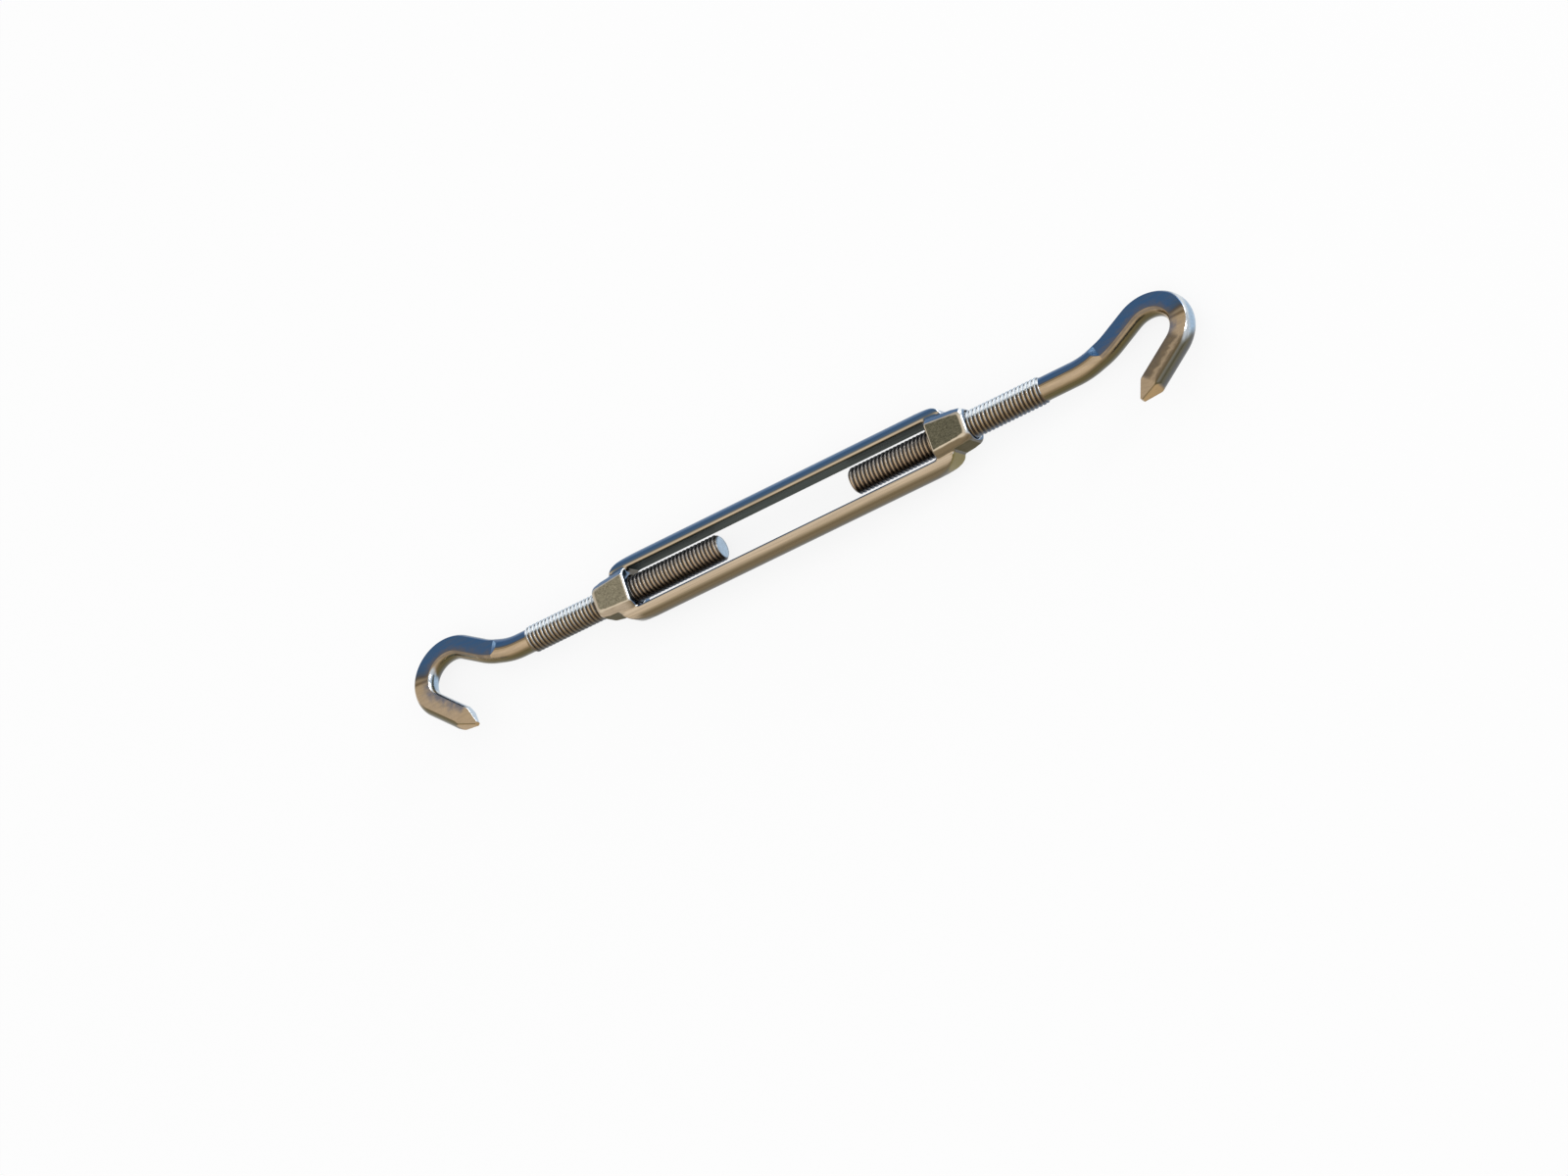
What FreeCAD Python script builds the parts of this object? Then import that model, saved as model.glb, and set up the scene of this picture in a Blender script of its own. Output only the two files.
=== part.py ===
import FreeCAD, Part
import math
import os

# An open-body turnbuckle in stainless steel, with a hook screw at each end.
# It is three pieces: a cast frame, and two hook screws that turn in its end bosses.
# The screw at -X has a right-hand thread and the one at +X a left-hand thread, so
# that turning the frame draws both hooks in together.
# Frame of reference, in millimetres: the origin is the middle of the open slot, on
# the screw axis. +X runs along that axis, the two bars lie in the XY plane, and +Z is
# square to the slot.

# Screw thread
THREAD_DIAMETER = 8.0
THREAD_RUNNING_CLEARANCE = 0.06
RIGHT_HAND_THREAD_LENGTH = 65.2
LEFT_HAND_THREAD_LENGTH = 60.8
THREAD_END_CHAMFER = 0.7
THREAD_RUNOUT = 0.6

# Frame: two half-round bars between two tapered bosses
SLOT_LENGTH = 99.2
SLOT_WIDTH = 11.2
SLOT_CORNER_RADIUS = 1.4
BAR_RADIUS = 4.0
BAR_EDGE_RADIUS = 0.6
BAR_LAP_ON_BOSS = 5.5
BAR_ROOT_DEPTH = 0.6
BAR_END_TAPER_LENGTH = 8.0
BOSS_LENGTH = 12.0
BOSS_LAP_IN_BAR = 0.15
BOSS_HEIGHT = 13.0
BOSS_BEVEL = 1.8
BOSS_INNER_BEVEL = 0.8
BOSS_TAPER_DEGREES = 4.2
BOSS_NOSE_RADIUS = 1.8
BOSS_EDGE_RADIUS = 0.4
BORE_COUNTERSINK = 0.5

# Hook: a round shank, a gentle bend off the axis, a pressed bowl, and a tapered tip
SHANK_DIAMETER = 6.8
RIGHT_HAND_SHANK_LENGTH = 3.4
LEFT_HAND_SHANK_LENGTH = 9.6
BEND_RADIUS = 19.2
BEND_BEFORE_PRESSING_DEGREES = 20.0
BEND_AFTER_PRESSING_DEGREES = 14.0
PRESSING_RAMP = 2.2
PRESSED_WIDTH = 6.9
PRESSED_THICKNESS = 5.2
ARM_LENGTH = 7.6
BOWL_RADIUS = 9.2
BOWL_DEGREES = 170.5
LEG_LENGTH = 17.6
TIP_LENGTH = 6.0
TIP_END_WIDTH = 1.0
TIP_END_THICKNESS = 1.6

# Where the two screws stand: how far each thread reaches past its boss into the slot,
# and how far each hook is turned about the axis from the plane of the bars
RIGHT_HAND_REACH = 28.9
LEFT_HAND_REACH = 26.6
RIGHT_HAND_HOOK_ROLL_DEGREES = 19.5
LEFT_HAND_HOOK_ROLL_DEGREES = 21.5

THREAD_RADIUS = THREAD_DIAMETER / 2
SHANK_RADIUS = SHANK_DIAMETER / 2
PRESSED_RADIUS = PRESSED_WIDTH / 2
BORE_RADIUS = THREAD_RADIUS + THREAD_RUNNING_CLEARANCE
BOSS_WIDTH = SLOT_WIDTH + 2 * BOSS_LAP_IN_BAR
BOSS_INNER_X = SLOT_LENGTH / 2
BOSS_OUTER_X = BOSS_INNER_X + BOSS_LENGTH
BAR_END_X = BOSS_INNER_X + BAR_LAP_ON_BOSS
BAR_OUTER_Y = SLOT_WIDTH / 2 + BAR_RADIUS

X_AXIS = FreeCAD.Vector(1, 0, 0)
Y_AXIS = FreeCAD.Vector(0, 1, 0)
Z_AXIS = FreeCAD.Vector(0, 0, 1)
ORIGIN = FreeCAD.Vector(0, 0, 0)


def polygon_face(points):
    """A flat face bounded by straight edges through the points."""
    return Part.Face(Part.makePolygon(points + points[:1]))


def edges_near(shape, test):
    """The edges of a shape whose middle point passes a test."""
    return [edge for edge in shape.Edges if test(edge.CenterOfMass)]


def mirrored_pair(shape, normal):
    """A shape and its mirror image about the plane through the origin."""
    return [shape, shape.mirror(ORIGIN, normal)]


def bar_flat_half_height():
    """Half the height of the bar's flat side, up to where its small edge radius starts.

    That radius touches the flat side and the round from inside.
    """
    return math.sqrt((BAR_RADIUS - BAR_EDGE_RADIUS) ** 2 - BAR_EDGE_RADIUS ** 2)


def bar_profile():
    """The bar's half-round section at x = 0, flat side towards the screw axis."""
    flat_y = SLOT_WIDTH / 2
    edge_y = flat_y + BAR_EDGE_RADIUS
    edge_z = bar_flat_half_height()
    lean = math.atan2(edge_z, BAR_EDGE_RADIUS)
    round_y = flat_y + BAR_RADIUS * math.cos(lean)
    round_z = BAR_RADIUS * math.sin(lean)
    half_lean = (lean + math.pi) / 2
    middle_y = edge_y + BAR_EDGE_RADIUS * math.cos(half_lean)
    middle_z = edge_z + BAR_EDGE_RADIUS * math.sin(half_lean)

    def point(y, z):
        return FreeCAD.Vector(0, y, z)

    edges = [
        Part.makeLine(point(flat_y, -edge_z), point(flat_y, edge_z)),
        Part.Arc(point(flat_y, edge_z), point(middle_y, middle_z),
                 point(round_y, round_z)).toShape(),
        Part.Arc(point(round_y, round_z), point(BAR_OUTER_Y, 0),
                 point(round_y, -round_z)).toShape(),
        Part.Arc(point(round_y, -round_z), point(middle_y, -middle_z),
                 point(flat_y, -edge_z)).toShape(),
    ]
    return Part.Face(Part.Wire(edges))


def bar_outline():
    """The bar at +Y seen from above: straight outside, and a quarter ellipse at each end."""
    root_y = SLOT_WIDTH / 2 - BAR_ROOT_DEPTH
    taper_x = BAR_END_X - BAR_END_TAPER_LENGTH
    taper_depth = BAR_OUTER_Y - root_y

    def point(x, y):
        return FreeCAD.Vector(x, y, -BAR_RADIUS)

    def quarter_ellipse(x, first_turn):
        ellipse = Part.Ellipse(point(x, root_y), BAR_END_TAPER_LENGTH, taper_depth)
        start = first_turn * math.pi / 2
        return Part.ArcOfEllipse(ellipse, start, start + math.pi / 2).toShape()

    edges = [
        Part.makeLine(point(-BAR_END_X, root_y), point(BAR_END_X, root_y)),
        quarter_ellipse(taper_x, 0),
        Part.makeLine(point(taper_x, BAR_OUTER_Y), point(-taper_x, BAR_OUTER_Y)),
        quarter_ellipse(-taper_x, 1),
    ]
    return Part.Face(Part.Wire(edges)).extrude(FreeCAD.Vector(0, 0, 2 * BAR_RADIUS))


def bar_root():
    """What joins the bar's end to the side of the boss at +X, level with its flat side."""
    height = 2 * bar_flat_half_height()
    return Part.makeBox(BAR_LAP_ON_BOSS, BAR_ROOT_DEPTH + BAR_EDGE_RADIUS, height,
                        FreeCAD.Vector(BOSS_INNER_X, SLOT_WIDTH / 2 - BAR_ROOT_DEPTH, -height / 2))


def bar():
    """One half-round bar at +Y, its outer side rounded down to the bosses at both ends."""
    profile = bar_profile()
    profile.translate(FreeCAD.Vector(-BAR_END_X, 0, 0))
    blank = profile.extrude(FreeCAD.Vector(2 * BAR_END_X, 0, 0))
    return blank.fuse(mirrored_pair(bar_root(), X_AXIS)).common(bar_outline())


def bevelled_rectangle(x, width, height, bevel):
    """The outline at x of a rectangle in the YZ plane with bevelled corners."""
    z, y = height / 2, width / 2
    corners = [(y, z - bevel), (y - bevel, z)]
    corners += [(-b, c) for b, c in reversed(corners)]
    corners += [(b, -c) for b, c in reversed(corners)]
    return Part.makePolygon([FreeCAD.Vector(x, b, c) for b, c in corners + corners[:1]])


def inside_inner_bevels():
    """The space left by 45 degree bevels on the top, bottom and corners of the inner end.

    It is wider than the boss, with the planes of its corners in the same place.
    """
    width = BOSS_WIDTH + 2 * BOSS_BEVEL
    height = BOSS_HEIGHT - 2 * BOSS_INNER_BEVEL
    return Part.makeLoft([
        bevelled_rectangle(BOSS_INNER_X, width, height, 2 * BOSS_BEVEL),
        bevelled_rectangle(BOSS_OUTER_X, width, height + 2 * BOSS_LENGTH, 2 * BOSS_BEVEL),
    ], True, True)


def boss():
    """The boss at +X: bevelled towards the slot, tapered away from it, with a rounded nose."""
    shrink = 2 * BOSS_LENGTH * math.tan(math.radians(BOSS_TAPER_DEGREES))
    block = Part.makeLoft([
        bevelled_rectangle(BOSS_INNER_X, BOSS_WIDTH, BOSS_HEIGHT, BOSS_BEVEL),
        bevelled_rectangle(BOSS_OUTER_X, BOSS_WIDTH - shrink, BOSS_HEIGHT - shrink, BOSS_BEVEL),
    ], True, True)
    nose = edges_near(block, lambda c: c.x > BOSS_OUTER_X - 1e-6)
    block = block.makeFillet(BOSS_NOSE_RADIUS, nose)
    sides = [edge for edge in block.Edges if edge.BoundBox.XLength > BOSS_LENGTH / 2]
    block = block.makeFillet(BOSS_EDGE_RADIUS, sides)
    return block.common(inside_inner_bevels())


def slot_corner():
    """The fillet in the slot's corner at +X and +Y, as high as the bar's flat side."""
    height = 2 * bar_flat_half_height()
    radius = SLOT_CORNER_RADIUS
    start = FreeCAD.Vector(BOSS_INNER_X - radius, SLOT_WIDTH / 2 - radius, -height / 2)
    # The fillet's back lies inside the bar and the boss, so that the casting is one solid.
    web = Part.makeBox(radius + BOSS_LAP_IN_BAR, radius + BOSS_LAP_IN_BAR, height, start)
    return web.cut(Part.makeCylinder(radius, height, start))


def bore():
    """What is cut from the boss at +X: the screw's hole, countersunk at both mouths."""
    hole = Part.makeCylinder(BORE_RADIUS, BOSS_LENGTH,
                             FreeCAD.Vector(BOSS_INNER_X, 0, 0), X_AXIS)
    wide = BORE_RADIUS + BORE_COUNTERSINK
    outer = Part.makeCone(BORE_RADIUS, wide, BORE_COUNTERSINK,
                          FreeCAD.Vector(BOSS_OUTER_X - BORE_COUNTERSINK, 0, 0), X_AXIS)
    inner = Part.makeCone(wide, BORE_RADIUS, BORE_COUNTERSINK,
                          FreeCAD.Vector(BOSS_INNER_X, 0, 0), X_AXIS)
    return hole.fuse([outer, inner])


def frame_body():
    """The cast frame: two bars and two bosses in one piece, bored along the axis."""
    pieces = mirrored_pair(bar(), Y_AXIS) + mirrored_pair(boss(), X_AXIS)
    for corner in mirrored_pair(slot_corner(), X_AXIS):
        pieces += mirrored_pair(corner, Y_AXIS)
    casting = pieces[0].fuse(pieces[1:]).removeSplitter()
    for hole in mirrored_pair(bore(), X_AXIS):
        casting = casting.cut(hole)
    return casting


class BarPath:
    """The centre line of a bent bar in the hook's own plane, drawn piece by piece.

    u runs outwards along the screw axis and v to the side on which the bar first bends.
    Each piece starts where the last one ended, in the same direction.
    """

    def __init__(self, u):
        self.u, self.v, self.heading = u, 0.0, 0.0

    def point(self):
        """Where the path has got to."""
        return FreeCAD.Vector(self.u, self.v, 0)

    def direction(self):
        """The direction in which the path goes on."""
        return FreeCAD.Vector(math.cos(self.heading), math.sin(self.heading), 0)

    def straight(self, length, radius, end_radius=None):
        """A straight piece, round or tapering to another radius."""
        end_radius = radius if end_radius is None else end_radius
        if math.isclose(radius, end_radius):
            piece = Part.makeCylinder(radius, length, self.point(), self.direction())
        else:
            piece = Part.makeCone(radius, end_radius, length, self.point(), self.direction())
        self.u += length * math.cos(self.heading)
        self.v += length * math.sin(self.heading)
        return piece

    def bend(self, degrees, bend_radius, radius):
        """A bent piece of round bar; positive degrees turn from u towards v."""
        side = math.copysign(1, degrees)
        across = FreeCAD.Vector(-math.sin(self.heading), math.cos(self.heading), 0)
        centre = self.point() + across * (side * bend_radius)
        section = Part.Face(Part.Wire(Part.makeCircle(radius, self.point(), self.direction())))
        piece = section.revolve(centre, Z_AXIS * side, abs(degrees))
        self.heading += math.radians(degrees)
        end = centre - FreeCAD.Vector(-math.sin(self.heading), math.cos(self.heading), 0) * (
            side * bend_radius)
        self.u, self.v = end.x, end.y
        return piece


def between_press_faces(piece):
    """What is left of a piece of the hook between the two flat faces of the press."""
    reach = 10 * BOWL_RADIUS
    centre = piece.BoundBox.Center
    slab = Part.makeBox(reach, reach, PRESSED_THICKNESS, FreeCAD.Vector(
        centre.x - reach / 2, centre.y - reach / 2, -PRESSED_THICKNESS / 2))
    return piece.common(slab)


def between_press_ramps(piece, start, direction):
    """What is left of the piece in which the flats begin, between two sloping faces."""
    mouth, half = PRESSED_RADIUS, PRESSED_THICKNESS / 2
    across = FreeCAD.Vector(-direction.y, direction.x, 0)
    outline = [(0, mouth), (PRESSING_RAMP, half), (PRESSING_RAMP, -half), (0, -mouth)]
    face = polygon_face([start - across * mouth * 2 + direction * a + Z_AXIS * b
                         for a, b in outline])
    return piece.common(face.extrude(across * (4 * mouth)))


def tip_space(start, direction):
    """The space that holds the leg up to its end, which tapers on all four sides."""
    across = FreeCAD.Vector(-direction.y, direction.x, 0)

    def section(along, half_width, half_thickness):
        centre = start + direction * along
        corners = [across * (half_width * b) + Z_AXIS * (half_thickness * c)
                   for b, c in ((-1, -1), (1, -1), (1, 1), (-1, 1))]
        return Part.makePolygon([centre + corner for corner in corners + corners[:1]])

    taper_start = LEG_LENGTH - TIP_LENGTH
    straight = [section(along, PRESSED_RADIUS, PRESSED_THICKNESS / 2)
                for along in (0, taper_start)]
    end = section(LEG_LENGTH, TIP_END_WIDTH / 2, TIP_END_THICKNESS / 2)
    return Part.makeLoft(straight, True, True).fuse(
        Part.makeLoft([straight[1], end], True, True))


def threaded_end(start, length):
    """The threaded part of the screw as a plain round, from its tip outwards."""
    body = Part.makeCylinder(THREAD_RADIUS, length, FreeCAD.Vector(start, 0, 0), X_AXIS)
    tip = edges_near(body, lambda c: math.isclose(c.x, start, abs_tol=1e-6))
    body = body.makeChamfer(THREAD_END_CHAMFER, tip)
    runout = edges_near(body, lambda c: math.isclose(c.x, start + length, abs_tol=1e-6))
    return body.makeChamfer(THREAD_RUNOUT, runout)


def hook_screw(start, thread_length, shank_length):
    """A hook screw along +X in the XY plane, with its threaded tip at x = start."""
    path = BarPath(start + thread_length)
    pieces = [threaded_end(start, thread_length), path.straight(shank_length, SHANK_RADIUS)]
    pieces.append(path.bend(BEND_BEFORE_PRESSING_DEGREES, BEND_RADIUS, SHANK_RADIUS))
    start, direction = path.point(), path.direction()
    ramp = path.straight(PRESSING_RAMP, SHANK_RADIUS, PRESSED_RADIUS)
    pieces.append(between_press_ramps(ramp, start, direction))
    pressed = [path.bend(BEND_AFTER_PRESSING_DEGREES, BEND_RADIUS, PRESSED_RADIUS),
               path.straight(ARM_LENGTH, PRESSED_RADIUS),
               path.bend(-BOWL_DEGREES, BOWL_RADIUS, PRESSED_RADIUS)]
    pieces += [between_press_faces(piece) for piece in pressed]
    space = tip_space(path.point(), path.direction())
    pieces.append(path.straight(LEG_LENGTH, PRESSED_RADIUS).common(space))
    return pieces[0].fuse(pieces[1:]).removeSplitter()


def right_hand_hook_screw():
    """The hook screw at -X: turned end for end about Y, then rolled about the axis."""
    screw = hook_screw(BOSS_INNER_X - RIGHT_HAND_REACH, RIGHT_HAND_THREAD_LENGTH,
                       RIGHT_HAND_SHANK_LENGTH)
    screw.rotate(ORIGIN, Y_AXIS, 180)
    screw.rotate(ORIGIN, X_AXIS, -RIGHT_HAND_HOOK_ROLL_DEGREES)
    return screw


def left_hand_hook_screw():
    """The hook screw at +X, rolled about the axis."""
    screw = hook_screw(BOSS_INNER_X - LEFT_HAND_REACH, LEFT_HAND_THREAD_LENGTH,
                       LEFT_HAND_SHANK_LENGTH)
    screw.rotate(ORIGIN, X_AXIS, -LEFT_HAND_HOOK_ROLL_DEGREES)
    return screw


def main():
    """Build each piece, check that it is one closed solid, and write it."""
    os.makedirs("parts", exist_ok=True)
    parts = {
        "frame_body": frame_body(),
        "hook_screw_right_hand": right_hand_hook_screw(),
        "hook_screw_left_hand": left_hand_hook_screw(),
    }
    for name, shape in parts.items():
        solid = shape.Solids[0] if len(shape.Solids) == 1 else shape
        print(name, "valid", solid.isValid(), "solids", len(shape.Solids),
              "faces", len(solid.Faces), "volume", round(solid.Volume, 1))
        solid.exportStep(os.path.join("parts", name + ".step"))


if __name__ == "__main__":
    main()
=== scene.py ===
"""The looks of an open-body turnbuckle with two hook screws, built around its fixed frame.

The two hook screws are worked out as numpy surfaces with real helical threads, in
millimetres, and stand for the plain rounds of the frame. The casting is an even-meshed,
smoothed copy of the frame's own. Polished steel shows what lies around it, so its finishes
paint that into the colour: painted reflections, a tone for every direction in which the
steel faces, with painted highlights and painted shade over them.
"""

import logging
import math
from dataclasses import dataclass, field
from enum import Enum
from typing import Any, Mapping, Sequence

import bmesh
import bpy
import numpy as np
from mathutils import Matrix, Vector

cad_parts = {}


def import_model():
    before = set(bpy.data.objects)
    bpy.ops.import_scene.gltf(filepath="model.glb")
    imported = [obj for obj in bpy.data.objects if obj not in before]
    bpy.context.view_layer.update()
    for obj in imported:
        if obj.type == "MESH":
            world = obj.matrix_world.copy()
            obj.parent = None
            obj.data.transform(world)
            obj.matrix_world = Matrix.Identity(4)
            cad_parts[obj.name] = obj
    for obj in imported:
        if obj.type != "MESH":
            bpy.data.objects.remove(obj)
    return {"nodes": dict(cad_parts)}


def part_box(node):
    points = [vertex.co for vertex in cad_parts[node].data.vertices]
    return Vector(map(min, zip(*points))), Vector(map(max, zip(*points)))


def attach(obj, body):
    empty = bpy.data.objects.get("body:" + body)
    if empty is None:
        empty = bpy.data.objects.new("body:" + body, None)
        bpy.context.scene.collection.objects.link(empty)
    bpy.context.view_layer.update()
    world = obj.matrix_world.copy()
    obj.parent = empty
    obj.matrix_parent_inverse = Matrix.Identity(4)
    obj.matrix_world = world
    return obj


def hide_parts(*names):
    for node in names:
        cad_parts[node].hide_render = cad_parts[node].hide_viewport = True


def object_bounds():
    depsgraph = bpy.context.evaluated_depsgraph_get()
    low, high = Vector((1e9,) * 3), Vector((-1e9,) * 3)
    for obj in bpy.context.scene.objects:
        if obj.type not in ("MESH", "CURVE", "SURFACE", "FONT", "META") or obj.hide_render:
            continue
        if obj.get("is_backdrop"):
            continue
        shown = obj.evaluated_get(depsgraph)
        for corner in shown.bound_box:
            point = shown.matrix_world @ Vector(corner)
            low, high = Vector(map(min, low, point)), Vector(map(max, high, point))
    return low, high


LOG = logging.getLogger("turnbuckle")
MM = 0.001
# Points round the round bar, and along each corner and each half flat of the pressed bar.
COLUMNS = 48
CORNER_POINTS = 4
WELD_DISTANCE = 0.001 * MM
SHARP_ANGLE = math.radians(50)
MARKS = ("groove", "threaded", "leg", "tip", "pressed", "across")
WHITE = (1.0, 1.0, 1.0, 1.0)
Colour = tuple[float, float, float, float]
Span = tuple[float, float]


def linear(red: int, green_reflection: int, blue: int) -> Colour:
    """Turn an 8-bit screen colour into the linear colour that a shader takes.

    Args:
        red: Red from 0 to 255.
        green_reflection: Green from 0 to 255.
        blue: Blue from 0 to 255.

    Returns:
        The linear colour with an alpha of 1.
    """
    def channel(value: int) -> float:
        """Undo the sRGB curve for one channel."""
        share = value / 255
        return share / 12.92 if share <= 0.04045 else ((share + 0.055) / 1.055) ** 2.4

    return (channel(red), channel(green_reflection), channel(blue), 1.0)


def rise(values: np.ndarray, low: float, high: float) -> np.ndarray:
    """Rise evenly from 0 at low to 1 at high, which may also lie below low.

    Args:
        values: The numbers to spread.
        low: Where the rise starts.
        high: Where it ends.

    Returns:
        Numbers from 0 to 1.
    """
    return np.clip((values - low) / (high - low), 0, 1)


class Hand(Enum):
    """The hand of a thread, as the way its angle grows along the screw."""

    RIGHT = 1
    LEFT = -1


@dataclass(frozen=True)
class Noise:
    """A smooth noise pattern on a piece.

    Attributes:
        scale: Waves in a metre.
        span: The noise values that are spread from 0 to 1, or none to leave them as they are.
        detail: How many layers of finer waves lie on them.
        along: What places along the axis are multiplied by, below 1 for long streaks.
    """

    scale: float
    span: Span | None = None
    detail: float = 2.0
    along: float = 1.0


class Value:
    """A value in a node tree. On a number, Python's operators add Math nodes."""

    def __init__(self, tree: "ShaderTree", socket: bpy.types.NodeSocket) -> None:
        """Wrap an output socket of a tree."""
        self.tree = tree
        self.socket = socket

    def math(self, operation: str, *others: "Value | float") -> "Value":
        """Add a Math node.

        Args:
            operation: The Math node's operation.
            others: The second and third operands.

        Returns:
            The node's result.
        """
        inputs = dict(enumerate((self, *others)))
        return self.tree.node("ShaderNodeMath", {"operation": operation}, inputs)["Value"]

    def __add__(self, other: "Value | float") -> "Value":
        """Add."""
        return self.math("ADD", other)

    __radd__ = __add__

    def __mul__(self, other: "Value | float") -> "Value":
        """Multiply."""
        return self.math("MULTIPLY", other)

    __rmul__ = __mul__

    def __sub__(self, other: "Value | float") -> "Value":
        """Subtract."""
        return self.math("SUBTRACT", other)

    def __rsub__(self, other: float) -> "Value":
        """Subtract from a number."""
        return self.math("MULTIPLY", -1.0).math("ADD", other)

    def __truediv__(self, other: "Value | float") -> "Value":
        """Divide."""
        return self.math("DIVIDE", other)

    def __abs__(self) -> "Value":
        """Take the size without the sign."""
        return self.math("ABSOLUTE")

    def step(self, low: float, high: float) -> "Value":
        """Rise smoothly from 0 at low to 1 at high.

        Args:
            low: Where the rise starts.
            high: Where it ends.

        Returns:
            A value from 0 to 1.
        """
        settings = {"interpolation_type": "SMOOTHSTEP"}
        inputs = {"Value": self, "From Min": low, "From Max": high}
        return self.tree.node("ShaderNodeMapRange", settings, inputs)["Result"]

    def between(self, at_0: float, at_1: float) -> "Value":
        """Go evenly from one number where this is 0 to another where it is 1."""
        return self * (at_1 - at_0) + at_0


class ShaderTree:
    """A material's nodes, with one method that adds any of them."""

    def __init__(self, name: str) -> None:
        """Start a material with a Principled shader.

        Args:
            name: The material's name.
        """
        self.material = bpy.data.materials.new(name)
        self.material.use_nodes = True
        self.nodes = self.material.node_tree.nodes
        self.links = self.material.node_tree.links
        self.shader = self.nodes["Principled BSDF"]

    def plug(self, socket: bpy.types.NodeSocket, value: Any) -> None:
        """Link a value to a socket, or set the socket itself.

        Args:
            socket: The input socket.
            value: A value of the tree, or a plain number or colour.
        """
        if isinstance(value, Value):
            self.links.new(value.socket, socket)
        else:
            socket.default_value = value

    def node(self, kind: str, settings: Mapping[str, Any],
             inputs: Mapping[str | int, Any]) -> dict[str, Value]:
        """Add a node.

        Args:
            kind: The node's type.
            settings: Its properties, and "stops" for a ramp: pairs of place and colour.
            inputs: Values or links of its sockets, by name or number.

        Returns:
            Its enabled outputs by name.
        """
        node = self.nodes.new(kind)
        for key, setting in settings.items():
            if key == "stops":
                self.set_stops(node.color_ramp, setting)
            else:
                setattr(node, key, setting)
        enabled = [socket for socket in node.inputs if socket.enabled]
        by_name = {socket.name: socket for socket in reversed(enabled)}
        for key, value in inputs.items():
            self.plug(node.inputs[key] if isinstance(key, int) else by_name[key], value)
        return {out.name: Value(self, out) for out in node.outputs if out.enabled}

    @staticmethod
    def set_stops(ramp: bpy.types.ColorRamp, stops: Sequence[tuple[float, Colour]]) -> None:
        """Give a colour ramp its stops.

        Args:
            ramp: The ramp, which starts with two stops.
            stops: Pairs of place and colour, at least two.
        """
        while len(ramp.elements) < len(stops):
            ramp.elements.new(1.0)
        for element, (place, colour) in zip(ramp.elements, stops):
            element.position = place
            element.color = colour

    def mix(self, share: Value | float, first: Any, second: Any) -> Value:
        """Mix two colours; the share is that of the second."""
        return self.node("ShaderNodeMix", {"data_type": "RGBA"},
                         {"Factor": share, "A": first, "B": second})["Result"]

    def split(self, vector: Value) -> dict[str, Value]:
        """Take a vector apart into X, Y and Z."""
        return self.node("ShaderNodeSeparateXYZ", {}, {"Vector": vector})

    def place(self) -> Value:
        """The place on the part, as Object coordinates in metres."""
        return self.node("ShaderNodeTexCoord", {}, {})["Object"]

    def facing(self) -> dict[str, Value]:
        """The direction in which the surface faces, as X, Y and Z."""
        return self.split(self.node("ShaderNodeNewGeometry", {}, {})["Normal"])

    def turned(self) -> Value:
        """The angle in which the surface faces, in degrees from +Z towards +Y."""
        facing = self.facing()
        return facing["Y"].math("ARCTAN2", facing["Z"]).math("DEGREES")

    def noise(self, place: Value, pattern: Noise) -> Value:
        """Add a noise pattern.

        Args:
            place: The place on the part.
            pattern: The pattern's settings.

        Returns:
            A value from 0 to 1.
        """
        stretched = self.node("ShaderNodeMapping", {"vector_type": "POINT"}, {
            "Vector": place, "Scale": (pattern.along, 1.0, 1.0)})["Vector"]
        waves = self.node("ShaderNodeTexNoise", {}, {
            "Vector": stretched, "Scale": pattern.scale, "Detail": pattern.detail})["Fac"]
        return waves.step(*pattern.span) if pattern.span else waves

    def bump(self, height: Value, strength: float, distance: float) -> Value:
        """Turn a height into a normal; a height of 1 is that distance, in metres."""
        return self.node("ShaderNodeBump", {}, {
            "Strength": strength, "Distance": distance, "Height": height})["Normal"]

    def finish(self, **sockets: Any) -> bpy.types.Material:
        """Set the Principled shader's sockets.

        Args:
            sockets: Values by the sockets' names, with underscores for spaces.

        Returns:
            The material.
        """
        for name, value in sockets.items():
            self.plug(self.shader.inputs[name.replace("_", " ")], value)
        return self.material


@dataclass(frozen=True)
class Patch:
    """A tone that covers part of a piece.

    Attributes:
        tone: Its colour.
        share: How much it hides of what is below it, where its mask is 1.
    """

    tone: Colour
    share: float = 1.0

    def over(self, tree: ShaderTree, below: Value, mask: Value) -> Value:
        """Lay the tone over a colour.

        Args:
            tree: The material's nodes.
            below: The colour below.
            mask: Where the tone lies, from 0 to 1.

        Returns:
            The mixed colour.
        """
        return tree.mix(mask * self.share, below, self.tone)


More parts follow.
